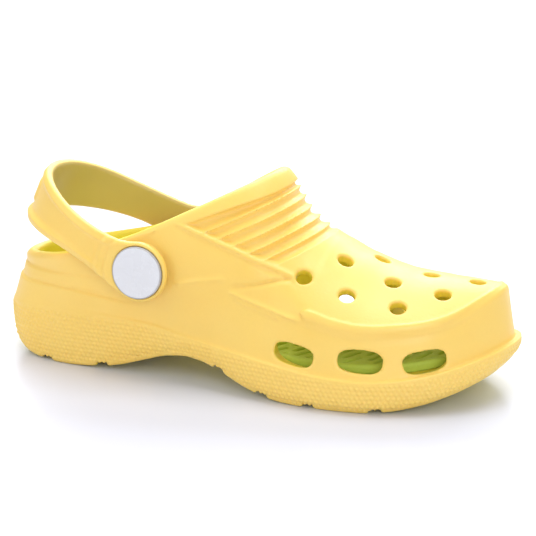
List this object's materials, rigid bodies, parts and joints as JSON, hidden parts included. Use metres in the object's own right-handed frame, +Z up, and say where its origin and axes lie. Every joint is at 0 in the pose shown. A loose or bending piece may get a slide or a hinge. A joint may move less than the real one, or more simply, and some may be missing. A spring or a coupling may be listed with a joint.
{
  "type": "garden clog",
  "caption": "Moulded foam garden clog with a roomy toe box, round vent holes, side windows, a ribbed footbed and a heel strap that turns on two snap rivets.",
  "frame": {"origin": "middle of the bounding box at ground level", "axes": "+X from heel to toe, +Z up, -Y is the outer (lateral) side of this right shoe"},
  "size_m": [0.255, 0.0968, 0.0983],
  "materials": {
    "moulded_foam": "soft satin closed-cell foam, fine moulded grain",
    "footbed_foam": "matte ribbed foam",
    "rivet_plastic": "satin moulded plastic",
    "washer_plastic": "matte",
    "white_disc": "smooth, plain"
  },
  "bodies": {
    "clog": {"clog_body": "moulded_foam", "insole": "footbed_foam", "rivet_cap_right": "rivet_plastic", "rivet_cap_left": "rivet_plastic", "rivet_socket_right": "rivet_plastic", "rivet_socket_left": "rivet_plastic", "strap_washer_right": "washer_plastic", "strap_washer_left": "washer_plastic", "button_disc_right": "white_disc", "button_disc_left": "white_disc"},
    "strap": {"heel_strap": "moulded_foam"}
  },
  "joints": [
    {"name": "strap_pivot", "type": "hinge", "parent": "clog", "child": "strap", "pos_m": [-0.04229, 0.00188, 0.05167], "axis": [0, 0.9993, -0.0376], "range_deg": [-9, 97]}
  ]
}
